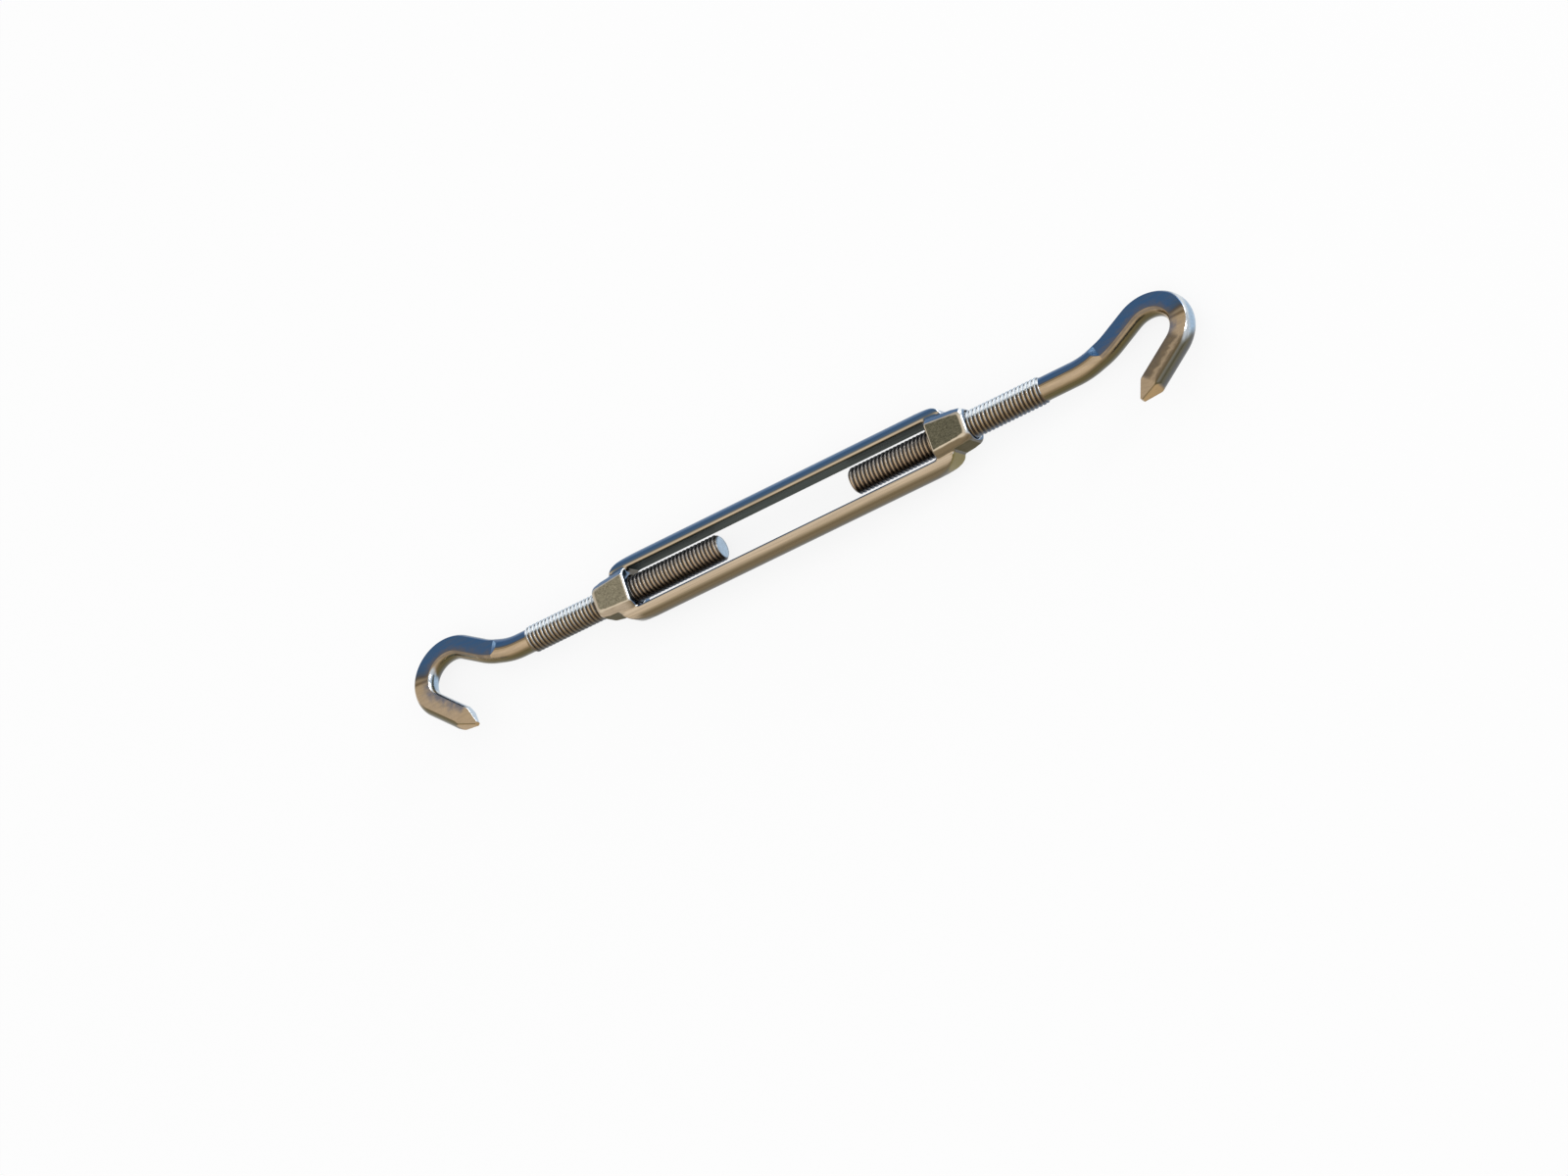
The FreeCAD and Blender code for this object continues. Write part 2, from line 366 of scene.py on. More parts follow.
@dataclass(frozen=True)
class PaintedReflectionBands:
    """The painted reflections that a polished steel surface takes around the screw axis.

    A tone belongs to the angle in which the surface faces, in degrees from +Z towards +Y.
    Ends, which face along the axis, have tones of their own. A span is of the facing
    direction's X or Y, and a tone comes in between its two values.

    Attributes:
        around: Pairs of an angle and its tone, from -180 to 180 degrees.
        left_end: The painted reflection on ends that face -X.
        right_end: The painted reflection on ends that face straight towards +X.
        right_edge_highlight: The painted highlight on edges that face partly towards +X, but not
            towards -Y.
        edge_from: The X at which an edge starts.
        edge_width: The X over which it comes in.
        edge_side: The span of Y in which edges start.
        straight: The span of X from an edge's tone to that of the right end.
        across: The span of X from the left end's tone to the right one's.
        end: The span of X, either way, in which ends take over from the tones around.
    """

    around: tuple[tuple[float, Colour], ...]
    left_end: Colour = linear(150, 128, 104)
    right_end: Colour = linear(96, 130, 166)
    right_edge_highlight: Colour = linear(214, 222, 228)
    edge_from: float = 0.5
    edge_width: float = 0.18
    edge_side: Span = (-0.5, -0.2)
    straight: Span = (0.75, 0.92)
    across: Span = (-0.2, 0.2)
    end: Span = (0.86, 0.97)

    def colour(self, tree: ShaderTree, lean: Value | float = 0.0) -> Value:
        """Add the bands to a tree.

        The angle is the arc tangent of the facing direction's Y over its Z, and the ramp
        of the tones runs once from -180 to 180 degrees.

        Args:
            tree: The material's nodes.
            lean: How much further the surface counts as turned towards -Y, in turns.

        Returns:
            The painted reflection for each direction in which the surface faces.
        """
        along, side = (tree.facing()[axis] for axis in "XY")
        turn = tree.turned() / 360 + 0.5 - lean
        stops = [(degrees / 360 + 0.5, tone) for degrees, tone in self.around]
        ring = tree.node("ShaderNodeValToRGB", {"stops": stops}, {"Fac": turn})["Color"]
        # Painted reflections on the ends, and a painted highlight on edges that face partly towards
        # +X.
        right = tree.mix(along.step(*self.straight), self.right_edge_highlight, self.right_end)
        ends = tree.mix(along.step(*self.across), self.left_end, right)
        edge = (along.step(self.edge_from, self.edge_from + self.edge_width)
                * side.step(*self.edge_side))
        return tree.mix(edge.math("MAXIMUM", abs(along).step(*self.end)), ring, ends)


# Painted reflections by facing angle, with painted glints on the open thread and painted shade on
# the thread in the slot.
CAST_BANDS = PaintedReflectionBands((
    (-180, linear(84, 86, 88)), (-110, linear(96, 98, 100)), (-84, linear(92, 90, 82)),
    (-66, linear(110, 98, 76)), (-46, linear(126, 108, 80)), (-38, linear(160, 142, 114)),
    (-30, linear(196, 174, 146)), (-12, linear(208, 188, 162)), (4, linear(196, 178, 152)),
    (9, linear(158, 150, 134)), (14, linear(104, 107, 106)), (20, linear(74, 100, 128)),
    (34, linear(60, 94, 130)), (60, linear(68, 106, 146)), (70, linear(84, 112, 142)),
    (84, linear(124, 136, 146)), (112, linear(146, 149, 150)), (148, linear(120, 116, 108)),
    (180, linear(84, 86, 88))),
    right_edge_highlight=linear(240, 246, 250), edge_from=0.32)
ROD_BANDS = PaintedReflectionBands((
    (-180, linear(84, 86, 88)), (-110, linear(96, 98, 100)), (-84, linear(98, 96, 82)),
    (-66, linear(92, 84, 56)), (-52, linear(104, 92, 60)), (-41, linear(142, 120, 88)),
    (-32, linear(182, 158, 126)), (-14, linear(194, 170, 140)), (0, linear(186, 162, 128)),
    (3, linear(112, 92, 66)), (6, linear(166, 146, 118)), (9, linear(92, 82, 70)),
    (13, linear(66, 90, 116)), (20, linear(62, 96, 134)), (40, linear(54, 92, 134)),
    (62, linear(64, 102, 142)), (70, linear(82, 112, 142)), (84, linear(124, 136, 146)),
    (112, linear(146, 149, 150)), (148, linear(118, 113, 104)), (180, linear(84, 86, 88))),
    right_end=linear(164, 190, 214))
OPEN_THREAD_BANDS = PaintedReflectionBands((
    (-180, linear(92, 104, 124)), (-108, linear(98, 104, 112)), (-84, linear(88, 88, 86)),
    (-68, linear(96, 86, 70)), (-52, linear(118, 98, 70)), (-36, linear(146, 122, 88)),
    (-15, linear(182, 156, 118)), (0, linear(186, 162, 128)), (10, linear(160, 148, 130)),
    (17, linear(136, 146, 146)), (21, linear(244, 247, 248)), (45, linear(240, 246, 250)),
    (52, linear(82, 132, 172)), (74, linear(78, 124, 162)), (92, linear(128, 142, 154)),
    (120, linear(140, 144, 148)), (180, linear(92, 104, 124))),
    right_end=linear(164, 190, 214))
SHELTERED_THREAD_BANDS = PaintedReflectionBands((
    (-180, linear(92, 104, 124)), (-108, linear(92, 112, 136)), (-88, linear(60, 72, 88)),
    (-74, linear(46, 42, 40)), (-56, linear(100, 82, 62)), (-36, linear(156, 130, 100)),
    (-15, linear(188, 162, 128)), (0, linear(176, 156, 130)), (17, linear(132, 124, 114)),
    (32, linear(88, 90, 94)), (52, linear(72, 84, 100)), (100, linear(76, 96, 120)),
    (180, linear(92, 104, 124))),
    right_end=linear(164, 190, 214), right_edge_highlight=linear(172, 164, 154))


@dataclass(frozen=True)
class BossFace:
    """The grainy cast skin of the boss faces, darker and greener on the boss at +X as a painted
    reflection.

    Attributes:
        plain: The dark and the light grain of the boss at -X.
        green_reflection: Those of the boss at +X, darker as a painted reflection.
        mottle: The grain.
        clouds: The larger spots among it.
        mottle_share: The grain's share beside that of the spots.
    """

    plain: tuple[Colour, Colour] = (linear(104, 97, 78), linear(176, 167, 142))
    green_reflection: tuple[Colour, Colour] = (linear(68, 66, 52), linear(132, 126, 104))
    mottle: Noise = Noise(4400, (0.25, 0.75), 4.0)
    clouds: Noise = Noise(1500, (0.3, 0.7))
    mottle_share: float = 0.7

    def tone(self, tree: ShaderTree, place: Value, mottle: Value) -> Value:
        """Work out the skin's tone.

        Args:
            tree: The material's nodes.
            place: The place on the part.
            mottle: The grain there.

        Returns:
            The colour of the grain.
        """
        clouds = tree.noise(place, self.clouds)
        speckle = mottle * self.mottle_share + clouds * (1 - self.mottle_share)
        plain, green_reflection = (tree.mix(speckle, *pair) for pair in (self.plain, self.green_reflection))
        # The boss at +X takes the darker, greener grain: a painted reflection.
        return tree.mix(tree.split(place)["X"].math("GREATER_THAN", 0.0), plain, green_reflection)


@dataclass(frozen=True)
class CastFinish:
    """Cast stainless steel: polished on its bars and bevels, grainy on the boss faces, painted with
    reflections, highlights and shade.

    A span is of the facing direction's X, Y or Z unless it says otherwise, and a tone comes
    in or goes out between its two values.

    Attributes:
        bands: The painted reflections of the polished steel.
        face: The skin of the boss faces.
        rim: The light rim of the boss faces, a painted highlight along their edges.
        bevel: The warm bevel of the boss at -X, on its -Y side, a painted reflection.
        olive_end_reflection: A painted olive reflection on the end at +X of the bar at -Y.
        inner_shade: The slot's flat wall that faces -Y: dull, and darker with painted shade.
        boss_side: The tone of the bosses' dull sides that face -Y.
        streak: The tone of the streaks along the polished steel.
        streaks: Their pattern.
        streak_share: How much they show, on polished and on dull steel.
        cool_share: How much of them is left on steel that faces away from +Y and towards it.
        boss_start: A place along the axis just before the bosses, in metres.
        face_height: How high the boss faces lie at least, in metres.
        wall_reach: A distance from the axis just past the slot's walls, in metres.
        face_tilt: The span of Z of the boss faces.
        rim_tilt: The span of Z in which their rim comes in.
        rim_stop: The span of Z in which it goes out.
        dull_side: The span of Y that ends the dull flat sides.
        bevel_along: The span along the axis that ends the warm bevel, in metres.
        bevel_tilt: The span of Z of that bevel.
        bevel_side: The span of Y that ends it.
        olive_out: The span of X of the olive end.
        olive_side: The span of Y that ends it.
        cool_side: The span of Y in which the streaks grow weaker.
        polish: The roughness of the polished steel.
        streak_roughness: What the streaks add to it.
        face_roughness: What the boss faces add.
        dull_roughness: What the dull sides add.
        streak_height: The height of the streaks, as a share of the grain's.
        grain_height: The height of the grain, in metres.
        grain_strength: How strongly the grain bends the reflections.
    """

    bands: PaintedReflectionBands = CAST_BANDS
    face: BossFace = BossFace()
    rim: Patch = Patch(linear(216, 202, 178), 0.7)
    bevel: Patch = Patch(linear(194, 174, 148))
    olive_end_reflection: Patch = Patch(linear(126, 116, 72))
    inner_shade: Colour = linear(66, 75, 70)
    boss_side: Colour = linear(92, 84, 58)
    streak: Colour = linear(124, 110, 90)
    streaks: Noise = Noise(2600, (0.32, 0.7), 3.0, 0.02)
    streak_share: Span = (0.3, 0.05)
    cool_share: Span = (1.0, 0.2)
    boss_start: float = 49.5 * MM
    face_height: float = 5.0 * MM
    wall_reach: float = 5.9 * MM
    face_tilt: Span = (0.955, 0.985)
    rim_tilt: Span = (0.74, 0.84)
    rim_stop: Span = (0.95, 0.98)
    dull_side: Span = (-0.97, -0.9)
    bevel_along: Span = (-52.5 * MM, -48.5 * MM)
    bevel_tilt: Span = (0.4, 0.55)
    bevel_side: Span = (-0.62, -0.5)
    olive_out: Span = (0.1, 0.35)
    olive_side: Span = (-0.4, -0.05)
    cool_side: Span = (0.15, 0.3)
    polish: float = 0.16
    streak_roughness: float = 0.1
    face_roughness: float = 0.34
    dull_roughness: float = 0.46
    streak_height: float = 0.08
    grain_height: float = 0.06 * MM
    grain_strength: float = 0.5

    def polished(self, tree: ShaderTree, at: Mapping[str, Value]) -> Value:
        """Work out the painted reflections of the polished steel.

        Args:
            tree: The material's nodes.
            at: The place on the part, as X, Y and Z.

        Returns:
            The painted reflections, with the olive end and the warm bevel reflections over it.
        """
        facing = tree.facing()
        # Painted reflection: olive on the end at +X of the bar at -Y.
        olive = (facing["X"].step(*self.olive_out) * (1 - facing["Y"].step(*self.olive_side))
                 * at["Y"].math("LESS_THAN", -self.wall_reach))
        # Painted reflection: a warm tan on the -Y bevel of the boss at -X.
        bevel = ((1 - at["X"].step(*self.bevel_along)) * facing["Z"].step(*self.bevel_tilt)
                 * (1 - facing["Y"].step(*self.bevel_side)))
        tone = self.olive_end_reflection.over(tree, self.bands.colour(tree), olive)
        return self.bevel.over(tree, tone, bevel)

    def material(self) -> bpy.types.Material:
        """Build the finish.

        Returns:
            The material.
        """
        tree = ShaderTree("cast_steel")
        place, facing = tree.place(), tree.facing()
        at, upright = tree.split(place), abs(facing["Z"])
        on_boss = abs(at["X"]).math("GREATER_THAN", self.boss_start)
        on_face = on_boss * abs(at["Z"]).math("GREATER_THAN", self.face_height)
        face = on_face * upright.step(*self.face_tilt)
        # Painted highlight: a light rim along the edges of the boss faces.
        rim = on_face * upright.step(*self.rim_tilt) * (1 - upright.step(*self.rim_stop))
        # Dull, rougher sides that face -Y: the slot's flat wall, darker with painted shade, and the
        # bosses' sides.
        dull = ((1 - facing["Y"].step(*self.dull_side))
                * (1 - abs(at["Y"]).math("GREATER_THAN", self.wall_reach)))
        mottle, streaks = (tree.noise(place, noise) for noise in (self.face.mottle, self.streaks))
        dull_and_shaded_tone = tree.mix(on_boss, self.inner_shade, self.boss_side)
        tone = tree.mix(dull, self.polished(tree, at), dull_and_shaded_tone)
        cool = facing["Y"].step(*self.cool_side).between(*self.cool_share)
        tone = tree.mix(streaks * dull.between(*self.streak_share) * cool, tone, self.streak)
        tone = self.rim.over(tree, tone, rim)
        roughness = (self.polish + self.streak_roughness * streaks
                     + self.face_roughness * face + self.dull_roughness * dull)
        height = mottle * face + streaks * self.streak_height
        return tree.finish(
            Base_Color=tree.mix(face, tone, self.face.tone(tree, place, mottle)), Metallic=1.0,
            Roughness=roughness, Normal=tree.bump(height, self.grain_strength, self.grain_height))


@dataclass(frozen=True)
class HookTones:
    """The tones of a shank and hook: painted reflections of the polished bar, a press mark, scuffs
    and painted reflections on the tip.

    A span is of the facing direction's Y or Z or of a mark, and a tone comes in or goes out
    between its two values. The marks are those that RodFinish lists.

    Attributes:
        bands: The painted reflections of the polished bar.
        leg_lean: How much further the leg's painted reflections are turned towards -Y, in turns.
        press_mark_sheen: A painted reflection, bright pale blue, on the press mark where the press
            flat starts.
        bend_scuff: The scuffs inside the bend, on the press flat.
        leg_scuff: The scuffs inside the leg.
        tip_blue_reflection: A painted pale blue reflection on the tip's side towards +Y.
        tip_gold_reflection: A painted gold reflection on the tip's side towards -Y.
        worn: The streaks along the bar.
        darker_leg_reflection: The darker tone of the leg at +X, a painted reflection.
        dark_share: How much of it shows beside and on the ridge along that leg, which is a painted
            highlight.
        uneven: The pattern that makes the borders uneven.
        leg_wave: How uneven the leg's scuffs are.
        ridge_wave: How uneven the ridge is.
        top: The span of Z of the press flat on top.
        lean_along: The span of "leg" over which the lean comes in.
        on_leg: The span of "leg" where the leg starts.
        dark_along: The span of "leg" where the darker leg starts.
        ramp: The span of "pressed" times what it lacks to 1, where the press flat starts.
        flat: The span of "pressed" where it is whole.
        press_side: The span of "across" of the press mark.
        bend_side: The span of "across" that ends the bend's scuffs.
        scuff_side: The span of "across" that ends the leg's scuffs.
        blue_side: The span of Y of the tip's blue side.
        gold_side: The span of Y that ends its gold side.
        ridge_rise: The span of "across" in which the ridge comes in.
        ridge_fall: The span of "across" in which it goes out.
    """

    bands: PaintedReflectionBands = ROD_BANDS
    leg_lean: float = 34 / 360
    press_mark_sheen: Patch = Patch(linear(126, 164, 202), 0.9)
    bend_scuff: Patch = Patch(linear(110, 100, 92), 0.7)
    leg_scuff: Patch = Patch(linear(78, 98, 128), 0.75)
    tip_blue_reflection: Patch = Patch(linear(206, 220, 234))
    tip_gold_reflection: Patch = Patch(linear(172, 144, 104))
    worn: Patch = Patch(linear(112, 102, 86), 0.2)
    darker_leg_reflection: Colour = linear(104, 90, 70)
    dark_share: Span = (0.8, 0.25)
    uneven: Noise = Noise(520, detail=3.0)
    leg_wave: float = 1.6
    ridge_wave: float = 0.8
    top: Span = (0.75, 0.85)
    lean_along: Span = (0.3, 0.95)
    on_leg: Span = (0.55, 0.8)
    dark_along: Span = (0.86, 0.98)
    ramp: Span = (0.0, 0.12)
    flat: Span = (0.9, 1.0)
    press_side: Span = (-0.3, 0.3)
    bend_side: Span = (-0.85, 0.0)
    scuff_side: Span = (-0.9, 0.3)
    blue_side: Span = (0.25, 0.45)
    gold_side: Span = (-0.7, -0.4)
    ridge_rise: Span = (0.05, 0.35)
    ridge_fall: Span = (0.35, 0.7)

    def tone(self, tree: ShaderTree, place: Value, marks: Mapping[str, Value],
             streaks: Value) -> Value:
        """Work out the tone of the bar.

        Args:
            tree: The material's nodes.
            place: The place on the part.
            marks: The marks by name.
            streaks: The streaks along the bar.

        Returns:
            The painted reflections, with each patch over it.
        """
        leg, tip, pressed, across = (marks[name] for name in ("leg", "tip", "pressed", "across"))
        facing = tree.facing()
        top, on_leg = facing["Z"].step(*self.top), leg.step(*self.on_leg)
        uneven = tree.noise(place, self.uneven) - 0.5
        side = across + uneven
        tone = self.bands.colour(tree, leg.step(*self.lean_along) * self.leg_lean)
        # Painted reflection: the press mark's facet is bright pale blue.
        ramp = (pressed * (1 - pressed)).step(*self.ramp)
        tone = self.press_mark_sheen.over(tree, tone, ramp * top * side.step(*self.press_side))
        bend = top * (1 - on_leg) * pressed.step(*self.flat)
        tone = self.bend_scuff.over(tree, tone, bend * (1 - side.step(*self.bend_side)))
        inside = 1 - (across + uneven * self.leg_wave).step(*self.scuff_side)
        tone = self.leg_scuff.over(tree, tone, inside * on_leg * top * (1 - tip))
        # Painted reflections on the tip: pale blue on its +Y side, gold on its -Y side.
        tone = self.tip_blue_reflection.over(tree, tone, tip * facing["Y"].step(*self.blue_side))
        tone = self.tip_gold_reflection.over(tree, tone, tip * (1 - facing["Y"].step(*self.gold_side)))
        # Painted darker reflection on the leg at +X, with a painted highlight along its ridge.
        wavy = across + uneven * self.ridge_wave
        ridge = wavy.step(*self.ridge_rise) * (1 - wavy.step(*self.ridge_fall))
        darker_leg = (leg.step(*self.dark_along) * (1 - tip) * top
                    * tree.split(place)["X"].math("GREATER_THAN", 0.0))
        tone = tree.mix(darker_leg * ridge.between(*self.dark_share), tone, self.darker_leg_reflection)
        return self.worn.over(tree, tone, streaks)


@dataclass(frozen=True)
class ThreadTones:
    """The tones of a thread: painted reflections on the crests, painted shade in the roots, and
    painted glints outside the casting.

    Attributes:
        open_bands: The painted reflections and glints outside the casting.
        sheltered_bands: The painted reflections in the slot, darker with painted shade from the
            bars.
        root: The painted shade in the roots of the thread.
        root_share: How much of it shows off and on the glints.
        root_depth: The span of "groove" in which it comes in.
        low_rim_reflection: The blue rim low on the thread outside the casting at +X, a painted
            reflection.
        low_turn: The span of angles that ends it, in degrees.
        glint_rise: The span of angles in which the painted glints come in.
        glint_fall: The span of angles in which they go out.
        slot_end: Where the open tones start along the axis, in metres.
        open_way: Over how long a way they come in, in metres.
    """

    open_bands: PaintedReflectionBands = OPEN_THREAD_BANDS
    sheltered_bands: PaintedReflectionBands = SHELTERED_THREAD_BANDS
    root: Colour = linear(40, 30, 22)
    root_share: Span = (0.86, 0.18)
    root_depth: Span = (0.3, 0.75)
    low_rim_reflection: Patch = Patch(linear(72, 90, 110))
    low_turn: Span = (-88.0, -68.0)
    glint_rise: Span = (14.0, 20.0)
    glint_fall: Span = (44.0, 50.0)
    slot_end: float = 49.6 * MM
    open_way: float = 6.0 * MM

    def outside(self, along: Value) -> Value:
        """Say where the thread is outside the casting, by its place along the axis."""
        return abs(along).step(self.slot_end, self.slot_end + self.open_way)

    def glints(self, tree: ShaderTree) -> Value:
        """Say where the painted glints lie on the crests, by the angle in which they face."""
        turned = tree.turned()
        return turned.step(*self.glint_rise) * (1 - turned.step(*self.glint_fall))

    def crests(self, tree: ShaderTree, along: Value) -> Value:
        """Work out the painted reflections on the crests.

        Args:
            tree: The material's nodes.
            along: The place along the axis.

        Returns:
            The painted reflections in the slot or outside it, with the blue rim reflection over it.
        """
        outside = self.outside(along)
        tone = tree.mix(outside, self.sheltered_bands.colour(tree), self.open_bands.colour(tree))
        # Painted reflection: a blue rim low on the thread outside the casting at +X.
        low = 1 - tree.turned().step(*self.low_turn)
        return self.low_rim_reflection.over(tree, tone, low * outside * along.math("GREATER_THAN", 0.0))


@dataclass(frozen=True)
class RodFinish:
    """Rolled stainless rod, with a thread and a bent, pressed hook, its colour painted with
    reflections, highlights and shade.

    The finish reads marks, which are attributes of the mesh: "groove" is 0 on crests and 1
    at the bottom of the thread, "threaded" is 1 on the thread, "leg" rises to 1 round the
    bowl, "tip" is 1 on the tapered tip, "pressed" rises to 1 where the round bar becomes
    flat, and "across" runs from -1 to 1 across the bar, towards the side on which it first
    bends.

    Attributes:
        hook: The tones of the shank and hook.
        thread: The tones of the thread.
        streaks: The pattern of the streaks along the bar.
        dents: The pattern of its soft dents.
        polish: The roughness of the polished bar.
        streak_roughness: What the streaks add to it.
        thread_roughness: What the thread adds.
        thread_matt: How much less metallic the thread is.
        glint_matt: How much less metallic the painted glints are besides, which keeps them white.
        streak_height: The height of the streaks, as a share of the dents'.
        dent_height: The height of the dents, in metres.
        dent_strength: How strongly the dents bend the reflections.
    """

    hook: HookTones = HookTones()
    thread: ThreadTones = ThreadTones()
    streaks: Noise = Noise(1500, (0.3, 0.75), 3.0, 0.15)
    dents: Noise = Noise(420)
    polish: float = 0.14
    streak_roughness: float = 0.1
    thread_roughness: float = 0.1
    thread_matt: float = 0.3
    glint_matt: float = 0.6
    streak_height: float = 0.4
    dent_height: float = 0.1 * MM
    dent_strength: float = 0.12

    def material(self) -> bpy.types.Material:
        """Build the finish.

        Returns:
            The material.
        """
        tree = ShaderTree("rolled_steel")
        place = tree.place()
        along = tree.split(place)["X"]
        marks = {name: tree.node("ShaderNodeAttribute", {"attribute_name": name}, {})["Fac"]
                 for name in MARKS}
        threaded = marks["threaded"]
        streaks, dents = (tree.noise(place, noise) for noise in (self.streaks, self.dents))
        tone = tree.mix(threaded, self.hook.tone(tree, place, marks, streaks),
                        self.thread.crests(tree, along))
        glint = self.thread.glints(tree) * self.thread.outside(along) * threaded
        # Painted shade darkens the roots of the thread, less on the painted glints.
        deep = (marks["groove"].step(*self.thread.root_depth)
                * glint.between(*self.thread.root_share))
        height = streaks * self.streak_height + dents
        return tree.finish(
            Base_Color=tree.mix(deep, tone, self.thread.root),
            Metallic=1 - self.thread_matt * threaded - self.glint_matt * glint,
            Roughness=(self.polish + self.streak_roughness * streaks
                       + self.thread_roughness * threaded),
            Normal=tree.bump(height, self.dent_strength, self.dent_height))


@dataclass(frozen=True)
class ThreadForm:
    """A metric screw thread, in millimetres.

    Attributes:
        diameter: Across the crests.
        pitch: From crest to crest.
        crest_share: Half the crest's flat, as a share of the half pitch.
        root_share: Half the root's flat, as a share of the half pitch.
        depth_share: The groove's depth, as a share of the pitch.
        rounding: How round the groove's corners are, from 0 to 1.
        rows: Rows of vertices in one pitch.
    """

    diameter: float = 7.8
    pitch: float = 1.25
    crest_share: float = 0.26
    root_share: float = 0.18
    depth_share: float = 0.36
    rounding: float = 0.35
    rows: int = 20

    @property
    def radius(self) -> float:
        """The crest's radius."""
        return self.diameter / 2

    @property
    def depth(self) -> float:
        """How deep the groove is: less than a new thread's, so that the outline looks straight."""
        return self.depth_share * self.pitch

    def depth_at(self, phase: np.ndarray) -> np.ndarray:
        """Work out the groove's depth along one pitch.

        The distance from the middle of the crest runs from 0 to 1 at the middle of the
        root. The depth is 0 up to the crest's edge and full from the root's edge on. On
        the flank it grows evenly, and the rounding moves it towards a smooth step, 3 t
        squared less 2 t cubed.

        Args:
            phase: Place along the pitch, where whole numbers are crest middles.

        Returns:
            The depth as a share from 0 to 1.
        """
        distance = np.abs(2 * (phase - np.round(phase)))
        flank = rise(distance, self.crest_share, 1 - self.root_share)
        smooth = 3 * flank ** 2 - 2 * flank ** 3
        return flank + self.rounding * (smooth - flank)


@dataclass
class Stations:
    """Places along a bent bar, each with the bar's section there, in millimetres.

    Attributes:
        u: Along the screw axis.
        v: To the side on which the bar first bends.
        heading: The direction of the bar, in radians from u towards v.
        radius: The round bar's radius.
        width: Half the distance between the flats across v.
        thickness: Half the distance between the press flats.
    """

    u: np.ndarray
    v: np.ndarray
    heading: np.ndarray
    radius: np.ndarray
    width: np.ndarray
    thickness: np.ndarray


@dataclass(frozen=True)
class Run:
    """A straight or curved run of a bent bar, in millimetres.

    A section is the round bar's radius, half the distance between the flats across v and
    half the distance between the press flats.

    Attributes:
        rows: How many rows of faces the run has.
        first: The section at its start.
        last: The section at its end.
        length: Its length where it is straight.
        radius: Its radius where it is an arc, below 0 where it bends back.
        degrees: How far it bends, below 0 where it bends back.
    """

    rows: int
    first: tuple[float, float, float]
    last: tuple[float, float, float]
    length: float = 0.0
    radius: float = 0.0
    degrees: float = 0.0

    def follow(self, u: float, v: float, heading: float) -> np.ndarray:
        """Work out the run's stations.

        A straight run of length l at the heading a moves the bar by l cos a along u and
        l sin a along v. An arc of radius r that turns from the heading a to b moves it by
        r (sin b - sin a) and r (cos a - cos b).

        Args:
            u: Where the run starts along the screw axis.
            v: Where it starts across.
            heading: The bar's direction there, in radians.

        Returns:
            A row for each station: u, v, the heading and the section.
        """
        share = np.linspace(0, 1, self.rows + 1)
        length = share * self.length
        turned = heading + share * math.radians(self.degrees)
        arc_u = self.radius * (np.sin(turned) - math.sin(heading))
        arc_v = self.radius * (math.cos(heading) - np.cos(turned))
        section = np.outer(1 - share, self.first) + np.outer(share, self.last)
        return np.column_stack([u + length * math.cos(heading) + arc_u,
                                v + length * math.sin(heading) + arc_v, turned, section])


